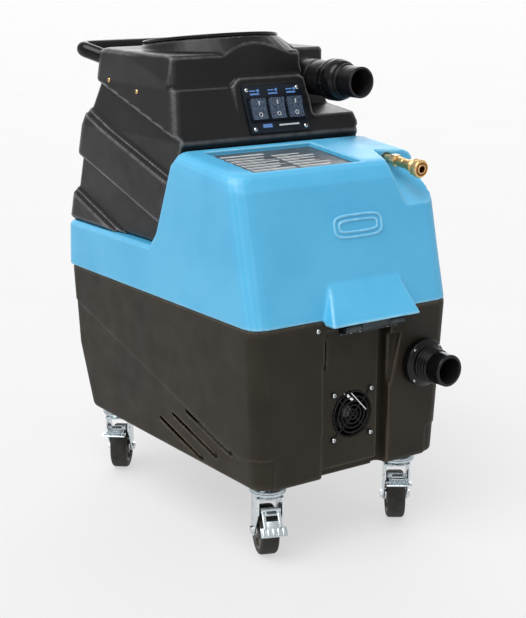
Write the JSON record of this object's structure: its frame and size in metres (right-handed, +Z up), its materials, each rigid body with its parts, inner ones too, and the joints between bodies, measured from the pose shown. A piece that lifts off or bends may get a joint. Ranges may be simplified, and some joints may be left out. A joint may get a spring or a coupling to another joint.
{
  "type": "spot extractor",
  "caption": "Small wheeled carpet and upholstery extractor: black base, blue solution tank and black recovery tank that tilt forward, round lid, push bar, switch panel and hose ports.",
  "frame": {"origin": "on the floor under the centre of the machine's bounding box", "axes": "+Z up, -Y towards the front with the hose ports and the fan, +X towards the side with the hose ports"},
  "size_m": [0.386, 0.6942, 0.8017],
  "materials": {
    "charcoal_plastic": "satin rotomoulded",
    "tank_black": "satin rotomoulded",
    "sky_blue_plastic": "satin rotomoulded",
    "gloss_black": "glossy moulded",
    "navy_panel": "satin",
    "switch_boot": "matte",
    "zinc": "bright zinc plate",
    "steel": "bright",
    "brass": "machined",
    "wheel_rubber": "matte",
    "smoked_lid": "glossy dark",
    "cast_metal": "cast",
    "label_grey": "matte",
    "red_plastic": "glossy",
    "white_plastic": "smooth"
  },
  "bodies": {
    "base": {"base_housing": "charcoal_plastic", "exhaust_port": "gloss_black", "fan_grille": "steel", "fan_frame": "gloss_black", "vacuum_motor": "cast_metal", "solution_pump": "cast_metal", "inline_heater": "cast_metal", "exhaust_hose": "wheel_rubber", "base_hinge_leaf": "zinc", "hinge_pin": "steel", "power_inlet_left": "gloss_black", "power_inlet_right": "gloss_black", "caster_plate_front_left": "zinc", "caster_plate_front_right": "zinc", "caster_plate_rear_left": "zinc", "caster_plate_rear_right": "zinc"},
    "tanks": {"solution_tank": "sky_blue_plastic", "recovery_tank": "tank_black", "lid_collar": "gloss_black", "handle": "gloss_black", "inlet_body": "tank_black", "inlet_nut": "gloss_black", "inlet_spout": "tank_black", "switch_panel": "navy_panel", "panel_screw_top_left": "steel", "panel_screw_top_right": "steel", "panel_screw_bottom_left": "steel", "panel_screw_bottom_right": "steel", "solution_fitting": "brass", "vacuum_standpipe": "white_plastic", "vacuum_bend": "white_plastic", "float_cage": "white_plastic", "drain_valve": "brass", "tank_hinge_leaf": "zinc"},
    "lid": {"lid": "smoked_lid"},
    "fill_cover": {"fill_cover": "label_grey"},
    "rocker_heater": {"rocker_heater": "switch_boot"},
    "rocker_pump": {"rocker_pump": "switch_boot"},
    "rocker_vacuum": {"rocker_vacuum": "switch_boot"},
    "fitting_sleeve": {"fitting_sleeve": "brass"},
    "float_ball": {"float_ball": "red_plastic"},
    "drain_lever": {"drain_lever": "red_plastic"},
    "fan_impeller": {"fan_impeller": "gloss_black"},
    "fork_front_left": {"caster_fork_front_left": "zinc"},
    "wheel_front_left": {"caster_wheel_front_left": "wheel_rubber"},
    "pedal_front_left": {"caster_pedal_front_left": "zinc"},
    "fork_front_right": {"caster_fork_front_right": "zinc"},
    "wheel_front_right": {"caster_wheel_front_right": "wheel_rubber"},
    "pedal_front_right": {"caster_pedal_front_right": "zinc"},
    "fork_rear_left": {"caster_fork_rear_left": "zinc"},
    "wheel_rear_left": {"caster_wheel_rear_left": "wheel_rubber"},
    "pedal_rear_left": {"caster_pedal_rear_left": "zinc"},
    "fork_rear_right": {"caster_fork_rear_right": "zinc"},
    "wheel_rear_right": {"caster_wheel_rear_right": "wheel_rubber"},
    "pedal_rear_right": {"caster_pedal_rear_right": "zinc"}
  },
  "joints": [
    {"name": "service_tilt", "type": "hinge", "parent": "base", "child": "tanks", "pos_m": [0, -0.2921, 0.371], "axis": [1, 0, 0], "range_deg": [0, 50]},
    {"name": "lid_lift", "type": "slide", "parent": "tanks", "child": "lid", "axis": [0, 0.1219, 0.9925], "range_m": [0, 0.05]},
    {"name": "fill_cover_lift", "type": "slide", "parent": "tanks", "child": "fill_cover", "axis": [0, -0.1025, 0.9947], "range_m": [0, 0.03]},
    {"name": "heater_switch", "type": "hinge", "parent": "tanks", "child": "rocker_heater", "pos_m": [-0.019, -0.03974, 0.68022], "axis": [1, 0, 0], "range_deg": [-14, 0]},
    {"name": "pump_switch", "type": "hinge", "parent": "tanks", "child": "rocker_pump", "pos_m": [0.017, -0.03974, 0.68022], "axis": [1, 0, 0], "range_deg": [-14, 0]},
    {"name": "vacuum_switch", "type": "hinge", "parent": "tanks", "child": "rocker_vacuum", "pos_m": [0.053, -0.03974, 0.68022], "axis": [1, 0, 0], "range_deg": [-14, 0]},
    {"name": "sleeve_slide", "type": "slide", "parent": "tanks", "child": "fitting_sleeve", "axis": [0, 0.9945, 0.1045], "range_m": [0, 0.004], "stiffness_N_per_m": 600},
    {"name": "float_rise", "type": "slide", "parent": "tanks", "child": "float_ball", "axis": [0, 0, 1], "range_m": [0, 0.022]},
    {"name": "drain_turn", "type": "hinge", "parent": "tanks", "child": "drain_lever", "pos_m": [-0.09, 0.33208, 0.516], "axis": [0, 0, 1], "range_deg": [0, 90]},
    {"name": "fan_spin", "type": "hinge", "parent": "base", "child": "fan_impeller", "pos_m": [0, -0.2501, 0.224], "axis": [0, 1, 0], "continuous": true},
    {"name": "swivel_front_left", "type": "hinge", "parent": "base", "child": "fork_front_left", "pos_m": [-0.131, -0.2271, 0.12], "axis": [0, 0, 1], "continuous": true},
    {"name": "roll_front_left", "type": "hinge", "parent": "fork_front_left", "child": "wheel_front_left", "pos_m": [-0.12501, -0.21227, 0.04], "axis": [0.9272, -0.3746, 0], "continuous": true},
    {"name": "brake_front_left", "type": "hinge", "parent": "fork_front_left", "child": "pedal_front_left", "pos_m": [-0.13849, -0.24564, 0.088], "axis": [0.9272, -0.3746, 0], "range_deg": [-46, 0]},
    {"name": "swivel_front_right", "type": "hinge", "parent": "base", "child": "fork_front_right", "pos_m": [0.131, -0.2271, 0.12], "axis": [0, 0, 1], "continuous": true},
    {"name": "roll_front_right", "type": "hinge", "parent": "fork_front_right", "child": "wheel_front_right", "pos_m": [0.14018, -0.21399, 0.04], "axis": [0.8192, -0.5736, 0], "continuous": true},
    {"name": "brake_front_right", "type": "hinge", "parent": "fork_front_right", "child": "pedal_front_right", "pos_m": [0.11953, -0.24348, 0.088], "axis": [0.8192, -0.5736, 0], "range_deg": [0, 46]},
    {"name": "swivel_rear_left", "type": "hinge", "parent": "base", "child": "fork_rear_left", "pos_m": [-0.131, 0.2469, 0.12], "axis": [0, 0, 1], "continuous": true},
    {"name": "roll_rear_left", "type": "hinge", "parent": "fork_rear_left", "child": "wheel_rear_left", "pos_m": [-0.12072, 0.25916, 0.04], "axis": [0.766, -0.6428, 0], "continuous": true},
    {"name": "brake_rear_left", "type": "hinge", "parent": "fork_rear_left", "child": "pedal_rear_left", "pos_m": [-0.14386, 0.23158, 0.088], "axis": [0.766, -0.6428, 0], "range_deg": [0, 46]},
    {"name": "swivel_rear_right", "type": "hinge", "parent": "base", "child": "fork_rear_right", "pos_m": [0.131, 0.2469, 0.12], "axis": [0, 0, 1], "continuous": true},
    {"name": "roll_rear_right", "type": "hinge", "parent": "fork_rear_right", "child": "wheel_rear_right", "pos_m": [0.12553, 0.26193, 0.04], "axis": [0.9397, 0.342, 0], "continuous": true},
    {"name": "brake_rear_right", "type": "hinge", "parent": "fork_rear_right", "child": "pedal_rear_right", "pos_m": [0.13784, 0.22811, 0.088], "axis": [0.9397, 0.342, 0], "range_deg": [0, 46]}
  ]
}
